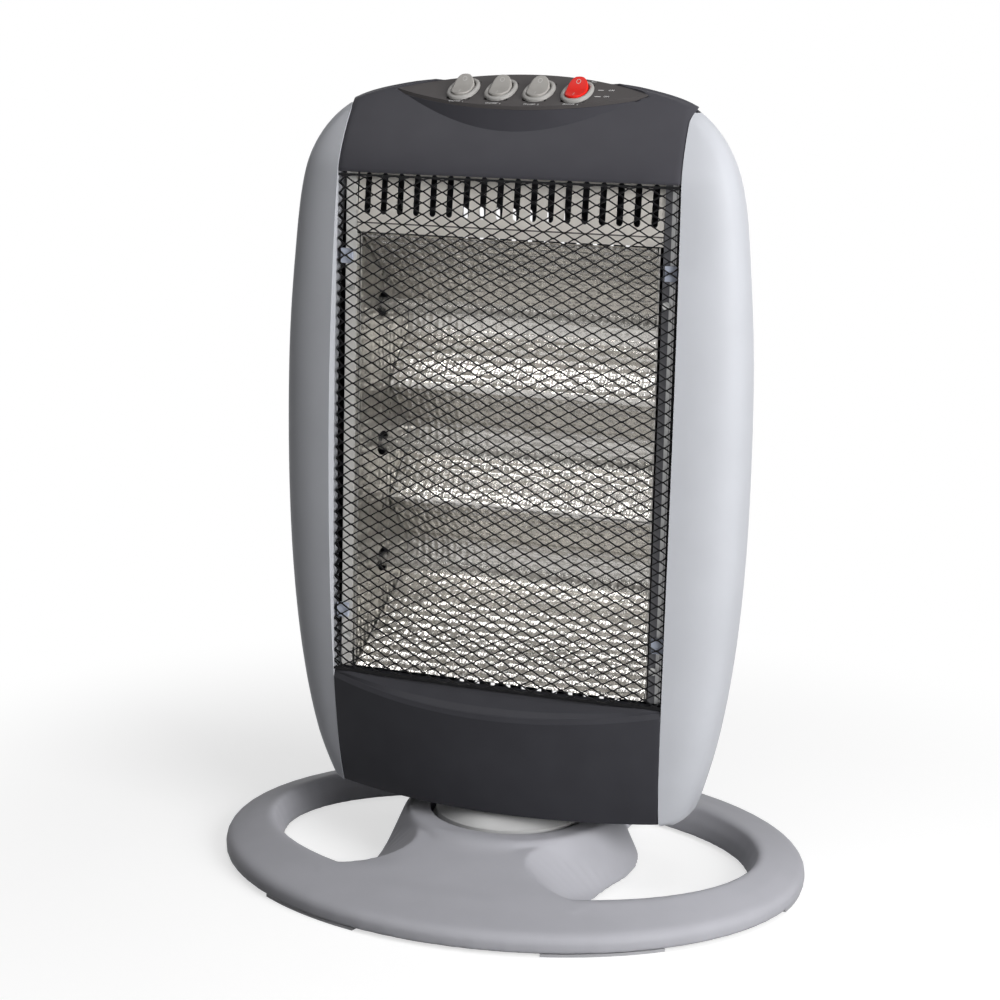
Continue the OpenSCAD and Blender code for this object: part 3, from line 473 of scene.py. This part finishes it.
# the material of each CAD node
FINISH = {
    "base": "base_shell",
    "under": "base_cover",
    "foot": "foot_pads",
    "disc": "swivel_disc",
    "white": "glide_ring",
    "brass": "crank_arm",
    "steel": "base_cover_screws swivel_post post_washer post_nut yoke_screws disc_screws motor_screws "
             "rear_cover_screws rail_screws",
    "sheet": "yoke_plate oscillation_motor heat_shield",
    "black": "bottom_cover cord_bushing tip_over_switch",
    "slate": "upper_front_panel",
    "slate_low": "lower_front_panel",
    "wing": "left_side_panel right_side_panel",
    "rear": "rear_cover carry_grip_pocket",
    "face": "control_panel",
    "sw": "switch_housing_1 switch_housing_2 switch_housing_3 switch_housing_4",
    "rk": "rocker_1 rocker_2 rocker_3",
    "red": "rocker_4",
    "wire": "front_guard",
    "clip": "guard_clips",
    "vent": "vent_plate",
    "refl": "reflector",
    "cheek": "reflector_cheek_left reflector_cheek_right",
    "lip": "frame_rail_left",
    "lip_dark": "frame_rail_right",
    "inner": "upper_baffle",
    "quartz": "quartz_tube_bottom quartz_tube_middle quartz_tube_top",
    "coil": "filament_bottom filament_middle filament_top",
    "ceramic": "tube_caps_left tube_caps_right thermal_cutout terminal_block",
    "sleeve": "wire_harness",
}
for key, names in FINISH.items():
    for name in names.split():
        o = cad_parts[name]
        if not o.material_slots:
            o.data.materials.append(None)
        for s in o.material_slots:
            s.material = M[key]
        smooth(o, 32)


# ------------------------------------------------------------------ side panels
def side_panel(sx, name, node):
    """a pale side, from the rear cover's step round to its fold at the dark front"""
    zs = FOOT_ROWS + levels((58, 12), (100, 46), (440, 20), (515, 8), (526.6, 0))
    across, fold = 34, 4
    verts = []
    for z in zs:
        s = oval_share(ph(z) / bw(z))
        w, d, m = bw(z), bd(z) + bm(z), bm(z)
        y1 = m - d * s
        f = min(12, 0.5 * (m - y1))
        step_x = max(ph(z) + 0.1, w - max(0.3, rim(z) - SEAM))
        verts.append((sx * cx(z, step_x), m, z))
        for k in range(across + 1):
            q = s * k / across
            verts.append((sx * cx(z, w * oval_share(q)), m - d * q, z))
        for k in range(1, fold + 1):
            verts.append((sx * ph(z), y1 + f * k / fold, z))
    faces = grid_faces(len(zs), across + fold + 2, sx > 0)
    o = add(name, verts, faces, "wing", "head", (node,), 30)
    thicken(o, PANEL, edge=0.7, segments=3, angle=50)


side_panel(1, "side_panel_right", "right_side_panel")
side_panel(-1, "side_panel_left", "left_side_panel")


# ------------------------------------------------------------------ front panels
def front_x(k, n, half):
    """x of column k of n from one side to the other, closer together near the sides"""
    return -half * SIN(RAD(90 * (2 * k / n - 1)))


def upper_panel():
    zs = levels((WIN_Z1, 12), (505, 16), (530, 22), (544.2, 0))
    n = 84
    verts = []
    for z in zs:
        for k in range(n + 1):
            x = front_x(k, n, min(ph(z) - SEAM, bw(z)))
            verts.append((x, fy(x, z), z))
    faces = grid_faces(len(zs), n + 1, True)
    o = add("upper_panel", verts, faces, "slate", "head", ("upper_front_panel",), 40)
    thicken(o, PANEL, edge=0.4, segments=2, angle=60)
    # the pod's hollow, and what would stand above its sloping plane
    carve(o, [lens_block(-1.2), lens_block(0.1, -POD_RIM)])


def pod_wall():
    """the pod's wall and rim: a closed ring round the sloping face"""
    foot_z = 504
    end_pull = 2.4                  # the inner outline is shorter by this many rims at each end
    xs = [POD_HL * SIN(RAD(a)) for a in spread(-90, 90, 90)]
    loops = []
    # outer top edge, outer and inner foot, inner top edge
    for g, on_top in ((0, True), (0, False), (-POD_RIM, False), (-POD_RIM, True)):
        loop = []
        for side, row in ((0, xs[:-1]), (1, xs[:0:-1])):
            for x0 in row:
                x = x0 * (POD_HL + g * end_pull) / POD_HL
                ends = lens_y(x, g)
                y = sum(ends) / 2 if abs(abs(x0) - POD_HL) < 1e-6 else ends[side]
                loop.append((x, y, plane(y, -POD_RIM) if on_top else foot_z))
        loops.append(loop)
    verts = [v for loop in loops for v in loop]
    faces = ring_faces(len(loops), len(loops[0]))
    add("pod_wall", verts, faces, "slate", "head", (), 40)


def lower_panel():
    n, rows = 72, 26                # columns, and rows below the facet's arc
    sill_z = WIN_Z0 - 0.3           # under the window
    shelf = 7                       # how far the sill runs back
    arc_gap = 0.8                   # from the window down to the ends of the arc
    foot_gap, foot_arch = 1, 1.2    # from the body's bottom edge up to the panel's, more at the sides

    def bulge_y(x, z):
        return fy(ph(z), z) - LOW_BULGE * (1 - (x / ph(z)) ** 2)

    def arc_z(x):
        return WIN_Z0 - arc_gap - FACET_DROP * (1 - (x / ph(WIN_Z0)) ** 2)

    def sill_y(x):
        return fy(ph(sill_z), sill_z) - GUARD_BOW * (1 - (x / ph(sill_z)) ** 2) + 0.5

    verts = []
    for i in range(rows + 1):
        for k in range(n + 1):
            z0 = Z_BOT + foot_gap + foot_arch * (2 * k / n - 1) ** 2
            z = z0 + (arc_z(front_x(k, n, ph(100) - SEAM)) - z0) * i / rows
            x = front_x(k, n, ph(z) - SEAM)
            verts.append((x, bulge_y(x, z), z))
    # the facet from the arc up to the sill under the window, and the sill's shelf running back
    arc = verts[-(n + 1):]
    sill = [(x, sill_y(x), sill_z) for x in (front_x(k, n, ph(sill_z) - SEAM) for k in range(n + 1))]
    for t in (0.02, 0.25, 0.5, 0.75, 0.98, 1.0):
        for p, q in zip(arc, sill):
            verts.append(tuple(u + (v - u) * t for u, v in zip(p, q)))
    verts += [(x, y + shelf, z - 0.1) for x, y, z in sill]
    faces = grid_faces(len(verts) // (n + 1), n + 1, True)
    o = add("lower_panel", verts, faces, "slate_low", "head", ("lower_front_panel",), 30)
    thicken(o, PANEL, edge=0.5, segments=3, angle=12)


upper_panel()
pod_wall()
lower_panel()


# ------------------------------------------------------------------ rear cover
def slot_block(x0, x1, z0, z1, r, y0=24, y1=66):
    """cutter with rounded corners, from y0 back to y1"""
    corners = ((x1 - r, z1 - r, 0), (x0 + r, z1 - r, 90), (x0 + r, z0 + r, 180), (x1 - r, z0 + r, 270))
    pts = []
    for px, pz, start in corners:
        for a in (0, 30, 60, 90):
            pts.append((px + r * COS(RAD(start + a)), pz + r * SIN(RAD(start + a))))
    v, f = loops_mesh([[(x, y, z) for x, z in pts] for y in (y0, y1)])
    return v, [face[::-1] for face in f]


def rear_panel():
    zs = FOOT_ROWS + levels((58, 12), (100, 40), (440, 24), (515, 26), (544.2, 0))
    n, verts = 120, []
    for z in zs:
        for k in range(n + 1):
            a = PI - PI * k / n
            s = abs(SIN(a)) ** (2 / REAR_EXP)
            c = math.copysign(abs(COS(a)) ** (2 / REAR_EXP), COS(a))
            verts.append((cx(z, rw(z)) * c, bm(z) + SEAM + br(z) * s, z))
    faces = grid_faces(len(zs), n + 1, True)
    o = add("rear_panel", verts, faces, "rear", "head", ("rear_cover",), 40)
    thicken(o, WALL)
    # three rows of vent slots, by the height of their middle and their length
    count, pitch, half = 11, 12, 2
    cuts = []
    for zc, length in ((438, 34), (392, 34), (100, 28)):
        for k in range(count):
            x = (k - (count - 1) / 2) * pitch
            cuts.append(slot_block(x - half, x + half, zc - length / 2, zc + length / 2, 1.98))
    cuts.append(slot_block(-52, 52, 470, 496, 6, 30, 70))        # carry grip
    cuts.append(slot_block(-98.1, -81.9, 69.9, 86.1, 8.05))      # cord bushing
    # all in one cutter; then the pod's outline
    cv, cf = [], []
    for v, f in cuts:
        cf += [tuple(i + len(cv) for i in face) for face in f]
        cv += v
    carve(o, [(cv, cf), lens_block(SEAM)])


rear_panel()


# ------------------------------------------------------------------ guard
def guard():
    """expanded metal: zigzag strands in a bowed sheet that wraps round its two sides"""
    verts, faces = [], []
    mesh_x, mesh_z = 7.2, 3.75      # half the width and half the height of a diamond, nearly
    half_w, half_d = 0.4, 0.5       # half width and half depth of a strand
    flat = 0.9                      # half length of a strand's level stretch, where two strands meet
    wrap = 9.0                      # how far back the sheet's sides run
    lift, sink = 1.2, 1.4           # from the window's lower edge up to the sheet, and its upper edge down
    bow_radius = 1836
    height = (WIN_Z1 - sink) - (WIN_Z0 + lift)
    rows = int(height / mesh_z)
    up = height / rows
    half = GUARD_HW + wrap
    cols = int(round(2 * half / mesh_x / 2)) * 2
    step = 2 * half / cols

    def at(s, h):
        """sheet coordinates to space: s along the width, h up the sheet"""
        if abs(s) <= GUARD_HW:
            x, y = s, -GUARD_BOW * (1 - (s / GUARD_HW) ** 2)
        else:
            x, y = math.copysign(GUARD_HW - 0.1, s), min(abs(s) - GUARD_HW, wrap)
        z = h + lift
        c, d = COS(GUARD_TILT), SIN(GUARD_TILT)
        return Vector((x, GUARD_Y + y * c + z * d, WIN_Z0 + z * c - y * d))

    def facing(s):
        """which way the sheet faces: forwards, sideways, or between the two at its bent edges"""
        if abs(s) < GUARD_HW - 1:
            return Vector((s / bow_radius, -1, GUARD_TILT)).normalized()
        if abs(s) > GUARD_HW + 1:
            return Vector((math.copysign(1, s), 0, 0))
        return Vector((math.copysign(0.7, s), -0.7, 0)).normalized()

    def strand(pts, normals, w, d):
        """strip of half width w and half depth d through the points"""
        first, last = len(verts), len(pts) - 1
        for i, (p, normal) in enumerate(zip(pts, normals)):
            along = (pts[min(last, i + 1)] - pts[max(0, i - 1)]).normalized()
            side = along.cross(normal).normalized()
            for u, v in ((-w, -d), (w, -d), (w, d), (-w, d)):
                verts.append(tuple(p + side * u + normal * v))
        for i in range(last):
            for j in range(4):
                a, b = first + 4 * i + j, first + 4 * i + (j + 1) % 4
                faces.append((a, b, b + 4, a + 4))
        faces.append((first + 3, first + 2, first + 1, first))
        faces.append(tuple(first + 4 * last + j for j in range(4)))

    for i in range(rows + 1):
        pts, normals = [], []
        for j in range(cols + 1):
            sign = 1 if (i + j) % 2 == 0 else -1
            h = min(max(i * up + sign * (up / 2 - half_w * 0.6), 0.4), height - 0.4)
            for ds in (-flat, flat):
                s = min(max(-half + j * step + ds, -half), half)
                pts.append(at(s, h))
                normals.append(facing(s))
        strand(pts, normals, half_w, half_d)
    # plain selvedge strips along the top and the bottom
    for h in (0.3, height - 0.3):
        pts = [at(s, h) for s in spread(-GUARD_HW, GUARD_HW, 40)]
        strand(pts, [Vector((0, -1, 0))] * len(pts), 0.7, 0.6)
    add("mesh_guard", verts, faces, "wire", "head", ("front_guard",), 50)


guard()


# ------------------------------------------------------------------ base: the solid's shape with soft fillets
def soft_base():
    voxel = 0.0014                  # in metres
    round_steps, deck_steps = 8, 120
    # where the deck runs into the ring without a crease: distance from the middle and half width there,
    # faded at its sides and ends
    deck = [(66, 30), (86, 36), (92, 41), (98, 49), (103, 59), (107, 70), (112, 84), (124, 92), (146, 92)]
    start, end, fade, lowest = deck[0][0], deck[-1][0], 8, 12
    o = bpy.data.objects.new("base_moulding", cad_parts["base_shell"].data.copy())
    scene.collection.objects.link(o)

    def relax(name, steps, group=""):
        s = o.modifiers.new(name, "SMOOTH")
        s.factor = 0.5
        s.iterations = steps
        s.vertex_group = group

    r = o.modifiers.new("voxel", "REMESH")
    r.mode = "VOXEL"
    r.voxel_size = voxel
    relax("relax", round_steps)
    me = bake(o)
    me.materials.clear()
    me.materials.append(M["base"])
    group = o.vertex_groups.new(name="deck")
    for v in me.vertices:
        x, y, z = abs(v.co.x) / MM, abs(v.co.y) / MM, v.co.z / MM
        if z < lowest or y < start or y > end:
            continue
        for (y0, w0), (y1, w1) in zip(deck, deck[1:]):
            if y0 <= y <= y1:
                inside = w0 + (w1 - w0) * (y - y0) / (y1 - y0) - x
                weight = min(1.0, max(0.0, inside / fade), (y - start) / fade, (end - y) / fade)
                if weight > 0:
                    group.add([v.index], weight, "REPLACE")
                break
    relax("deck", deck_steps, "deck")
    me = bake(o)
    for p in me.polygons:
        p.use_smooth = True
    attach(o, "base")
    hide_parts("base_shell")


soft_base()


# ------------------------------------------------------------------ switches
def on_pod(x, y, dz=0.0, unit=1.0):
    """frame on the pod's sloping plane at x and y, lifted by dz"""
    return Matrix.Translation(Vector((x, y, plane(y, dz))) * unit) @ Matrix.Rotation(POD_SLOPE, 4, "X")


def switch_x(k):
    return (k - 2.5) * SW_PITCH


def oval(w, l, n=64, p=2.25):
    """rounded outline of width w and length l, a superellipse of exponent p"""
    pts = []
    for i in range(n):
        c, s = COS(2 * PI * i / n), SIN(2 * PI * i / n)
        pts.append((w / 2 * math.copysign(abs(c) ** (2 / p), c), l / 2 * math.copysign(abs(s) ** (2 / p), s)))
    return pts


def collar(k):
    m = on_pod(switch_x(k), SW_Y)
    # how far the oval is grown all round, and its height: up the outside, over, and down the well
    section = ((0, 0.2), (0, 1.4), (-0.35, 2.0), (-1.0, 2.45), (-1.8, 2.6), (-2.5, 2.35), (-2.9, 1.8),
               (-3.0, 1.0), (-3.0, -9))
    loops = []
    for off, h in section:
        loops.append(placed(m, [(x, y, h) for x, y in oval(SW_W + 2 * off, SW_L + 2 * off)]))
    v, f = loops_mesh(loops, False, True)
    add("switch_collar_%d" % k, v, f, "sw", "head", ("switch_housing_%d" % k,), 50)


def rocker(k):
    body, width, length = "rocker_%d" % k, 14.4, 20.6
    sunk = Matrix.Translation(Vector((0, 0, -0.9)))
    m = on_pod(switch_x(k), SW_Y) @ sunk @ Matrix.Rotation(RAD(ROCK / 2), 4, "X")

    def top(y):
        """the dished top, which rises to both ends"""
        return 4.3 + 2.9 * min(1.0, abs(y) / 9.6) ** 1.5

    # stem inside the collar: change of width and of length, height
    loops = []
    for dw, dl, h in ((-2.0, -7, -4.0), (-0.4, -0.6, 0.0)):
        loops.append(placed(m, [(x, y, h) for x, y in oval(width + dw, length + dl)]))
    # cap: change of width, height from the dished top
    for dw, dz in ((0, -2.2), (0, -0.9), (-0.3, -0.35), (-0.9, -0.05), (-1.6, 0.0), (-4, 0), (-7, 0),
                   (-10, 0), (-12.4, 0)):
        loops.append(placed(m, [(x, y, top(y) + dz) for x, y in oval(width + dw, length + dw * 1.3)]))
    v, f = loops_mesh(loops)
    key, slot = ("red", "rocker_red") if k == 4 else ("rk", "switch_grey")
    add("rocker_cap_%d" % k, v, f, key, body, (body,), 50)

    # moulded ring towards one end and bar towards the other
    ring_y, ring_r, wire_r, around, section = 6.3, 1.4, 0.16, 32, 8
    v = []
    for i in range(around):
        a = 2 * PI * i / around
        for j in range(section):
            b = 2 * PI * j / section
            out = ring_r + wire_r * COS(b)
            x, y = out * COS(a), ring_y + out * SIN(a)
            v.append((x, y, top(y) + 0.05 + wire_r * 0.6 * SIN(b)))
    f = ring_faces(around, section)
    bar, first = spread(-7.6, -4.2, 4), len(v)
    for y in bar:
        v += [(x, y, top(y) + h) for x, h in ((-0.18, -0.1), (-0.12, 0.1), (0.12, 0.1), (0.18, -0.1))]
    f += [tuple(first + i for i in face) for face in grid_faces(len(bar), 4)]
    add("rocker_marks_%d" % k, placed(m, v), f, "mould", body, (), 50)


for k in (1, 2, 3, 4):
    collar(k)
    rocker(k)


# ------------------------------------------------------------------ plain printed marks beside the switches
def mark(name, text, x, y, size):
    cu = bpy.data.curves.new(name, "FONT")
    cu.body = text
    cu.size = size * MM
    cu.align_x = "CENTER"
    cu.align_y = "CENTER"
    cu.extrude = 0.02 * MM
    tmp = bpy.data.objects.new(name + "_curve", cu)
    scene.collection.objects.link(tmp)
    me = evaluated(tmp)
    bpy.data.objects.remove(tmp)
    me.transform(on_pod(x, y, 0.05, MM))
    me.materials.clear()
    me.materials.append(M["print"])
    o = bpy.data.objects.new(name, me)
    scene.collection.objects.link(o)
    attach(o, "head")


def bars(name, items):
    """small printed bars, each (x, y, length, width)"""
    v, f = [], []
    for x, y, length, w in items:
        a, b, first = length / 2, w / 2, len(v)
        v += placed(on_pod(x, y, 0.02), ((-a, -b, 0.05), (a, -b, 0.05), (a, b, 0.05), (-a, b, 0.05)))
        f.append(tuple(range(first, first + 4)))
    add(name, v, f, "print", "head")


for k, label_y in ((1, -15.0), (2, -16.4), (3, -16.4), (4, -15.0)):
    mark("print_label_%d" % k, "ON/OFF  %d" % k, switch_x(k), label_y, 2.3)
mark("print_off", "OFF", 62.4, 3.0, 2.4)
mark("print_on", "ON", 61.4, -4.5, 2.4)
bars("print_bars", [(55.0, 2.9, 3.8, 0.7), (55.5, -4.8, 4.0, 0.7), (46.5, 13.0, 4.0, 0.6)])


# ------------------------------------------------------------------ stage, light, camera
def glow(n, kind, strength):
    t = n.new(kind)
    t.inputs["Color"].default_value = (1, 1, 1, 1)
    t.inputs["Strength"].default_value = strength
    return t.outputs[0]


def blended(n, l, factor, first, second):
    mx = n.new("ShaderNodeMixShader")
    l.new(factor, mx.inputs[0])
    l.new(first, mx.inputs[1])
    l.new(second, mx.inputs[2])
    return mx.outputs[0]


def seen(n, l):
    """1 where the camera sees it straight, in a mirror or through glass"""
    lp = n.new("ShaderNodeLightPath")
    a, b = n.new("ShaderNodeMath"), n.new("ShaderNodeMath")
    a.operation = b.operation = "MAXIMUM"
    l.new(lp.outputs["Is Camera Ray"], a.inputs[0])
    l.new(lp.outputs["Is Glossy Ray"], a.inputs[1])
    l.new(a.outputs[0], b.inputs[0])
    l.new(lp.outputs["Is Transmission Ray"], b.inputs[1])
    return b.outputs[0]


def floor():
    half = 9
    lift = 0.64                     # glow that brings the lit floor up to white
    bounce = (0.22, 0.22, 0.22, 1)
    near, far = 0.28, 0.62          # the shadow fades between these distances from the middle
    me = bpy.data.meshes.new("floor")
    me.from_pydata([(-half, -half, 0), (half, -half, 0), (half, half, 0), (-half, half, 0)], [],
                   [(0, 1, 2, 3)])
    o = bpy.data.objects.new("floor", me)
    scene.collection.objects.link(o)
    m = bpy.data.materials.new("floor_white")
    m.use_nodes = True
    n, l = m.node_tree.nodes, m.node_tree.links
    b = n["Principled BSDF"]
    b.inputs["Base Color"].default_value = (0.50, 0.50, 0.50, 1)
    b.inputs["Roughness"].default_value = 0.9
    b.inputs["Specular IOR Level"].default_value = 0.1
    # seen by the camera: the lit floor with its shadow, fading to plain white away from the object
    lit = n.new("ShaderNodeAddShader")
    l.new(b.outputs[0], lit.inputs[0])
    l.new(glow(n, "ShaderNodeEmission", lift), lit.inputs[1])
    distance = n.new("ShaderNodeVectorMath")
    distance.operation = "LENGTH"
    l.new(n.new("ShaderNodeTexCoord").outputs["Object"], distance.inputs[0])
    fade = n.new("ShaderNodeMapRange")
    fade.interpolation_type = "SMOOTHSTEP"
    fade.inputs["From Min"].default_value = near
    fade.inputs["From Max"].default_value = far
    l.new(distance.outputs["Value"], fade.inputs["Value"])
    white = glow(n, "ShaderNodeEmission", 1.0)
    shown = blended(n, l, fade.outputs["Result"], lit.outputs[0], white)
    # what the floor throws back onto the object
    dark = n.new("ShaderNodeBsdfDiffuse")
    dark.inputs["Color"].default_value = bounce
    result = blended(n, l, seen(n, l), dark.outputs[0], shown)
    l.new(result, n["Material Output"].inputs["Surface"])
    me.materials.append(m)


def studio():
    """world that is white to the camera and lights the object softly"""
    w = bpy.data.worlds.new("studio")
    scene.world = w
    w.use_nodes = True
    n, l = w.node_tree.nodes, w.node_tree.links
    n.clear()
    out = n.new("ShaderNodeOutputWorld")
    light, white = (glow(n, "ShaderNodeBackground", strength) for strength in (0.09, 1.0))
    l.new(blended(n, l, seen(n, l), light, white), out.inputs["Surface"])


def area(name, loc, target, size, watts):
    d = bpy.data.lights.new(name, "AREA")
    d.shape = "RECTANGLE"
    d.size, d.size_y = size
    d.energy = watts
    o = bpy.data.objects.new(name, d)
    scene.collection.objects.link(o)
    o.location = loc
    o.rotation_euler = (Vector(target) - Vector(loc)).to_track_quat("-Z", "Y").to_euler()
    return o


def camera(azimuth, elevation, roll, distance, side, height, focal):
    """camera turned about the swivel axis, moved sideways; focal is in pixels of the photograph's frame"""
    sensor, frame_width = 36, 1000
    a, e, r = RAD(azimuth), RAD(elevation), RAD(roll)
    back = Vector((SIN(a) * COS(e), -COS(a) * COS(e), SIN(e)))
    right = Vector((COS(a), SIN(a), 0))
    up = back.cross(right)
    cam = bpy.data.cameras.new("camera")
    cam.sensor_width = sensor
    cam.lens = focal * sensor / frame_width
    o = bpy.data.objects.new("camera", cam)
    scene.collection.objects.link(o)
    turned = (right * COS(r) + up * SIN(r), up * COS(r) - right * SIN(r), back)
    m = Matrix(turned).transposed().to_4x4()
    m.translation = Vector((0, 0, height)) + right * side + back * distance
    o.matrix_world = m
    scene.camera = o


floor()
studio()
area("key", (1.40, -0.78, 0.76), (0, 0, 0.25), (0.9, 0.9), 29)
area("front_fill", (1.0, -2.4, 1.2), (0, 0, 0.28), (1.6, 1.2), 2.5)
area("top", (0.4, -0.35, 2.4), (0, 0, 0.3), (1.4, 1.0), 11.5)
glint = area("sheet_glint", (-0.75, -1.0, 1.9), (0, 0, 0.3), (0.9, 0.7), 22)
glint.visible_diffuse = False
camera(21.77, 12.37, 0.67, distance=1.58105, side=-0.01075, height=0.26012, focal=2298.79)
